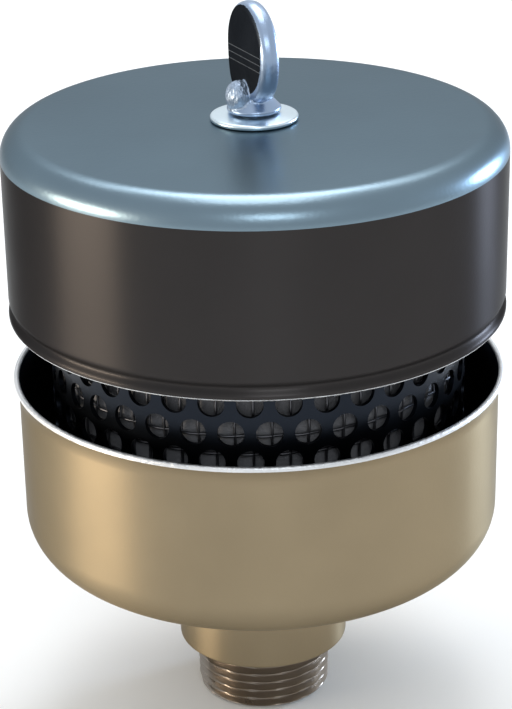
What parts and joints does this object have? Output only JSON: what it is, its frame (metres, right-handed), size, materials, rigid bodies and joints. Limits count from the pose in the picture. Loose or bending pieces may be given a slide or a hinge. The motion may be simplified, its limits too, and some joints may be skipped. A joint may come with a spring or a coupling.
{
  "type": "pneumatic muffler",
  "caption": "Exhaust muffler: perforated element between two drawn steel cups on a threaded pipe nipple, closed by a thumb screw.",
  "frame": {"origin": "on the axis at the lower end of the threaded nipple", "axes": "+Z along the axis from the pipe thread to the thumb screw; -Y is the front"},
  "size_m": [0.0938, 0.0938, 0.1397],
  "materials": {
    "cap_steel": "semi-gloss grey plated steel",
    "cup_plating": "semi-gloss warm plated steel",
    "pipe_steel": "machined steel",
    "zinc": "bright zinc plate",
    "guard_steel": "satin plated steel",
    "screen_wire": "dull dark wire",
    "felt": "grey felt",
    "rubber": "matt black rubber"
  },
  "bodies": {
    "base": {"threaded_nipple": "pipe_steel", "pipe_collar": "cup_plating", "bottom_cup": "cup_plating", "floor_gasket": "rubber", "lock_nut": "zinc", "post_bridge": "pipe_steel", "tie_post": "pipe_steel", "post_lock_washer": "zinc", "post_nut": "zinc", "lower_gasket": "rubber"},
    "element": {"lower_end_cap": "guard_steel", "guard_tube": "guard_steel", "wire_screen": "screen_wire", "felt_element": "felt", "core_tube": "guard_steel", "upper_end_cap": "guard_steel", "upper_gasket": "rubber"},
    "cap": {"top_cap": "cap_steel"},
    "washer": {"dome_washer": "zinc"},
    "screw": {"thumb_screw": "zinc"}
  },
  "joints": [
    {"name": "element_lift", "type": "slide", "parent": "base", "child": "element", "axis": [0, 0, 1], "range_m": [0, 0.08]},
    {"name": "cap_lift", "type": "slide", "parent": "element", "child": "cap", "axis": [0, 0, 1], "range_m": [0, 0.05]},
    {"name": "washer_rise", "type": "slide", "parent": "cap", "child": "washer", "axis": [0, 0, 1], "range_m": [0, 0.0178]},
    {"name": "screw_turn", "type": "hinge", "parent": "washer", "child": "screw", "pos_m": [0, 0, 0.1177], "axis": [0, 0, 1], "range_deg": [0, 5040]}
  ],
  "couplings": [
    {"joint": "washer_rise", "follows": "screw_turn", "m_per_rad": 0.00020213}
  ]
}
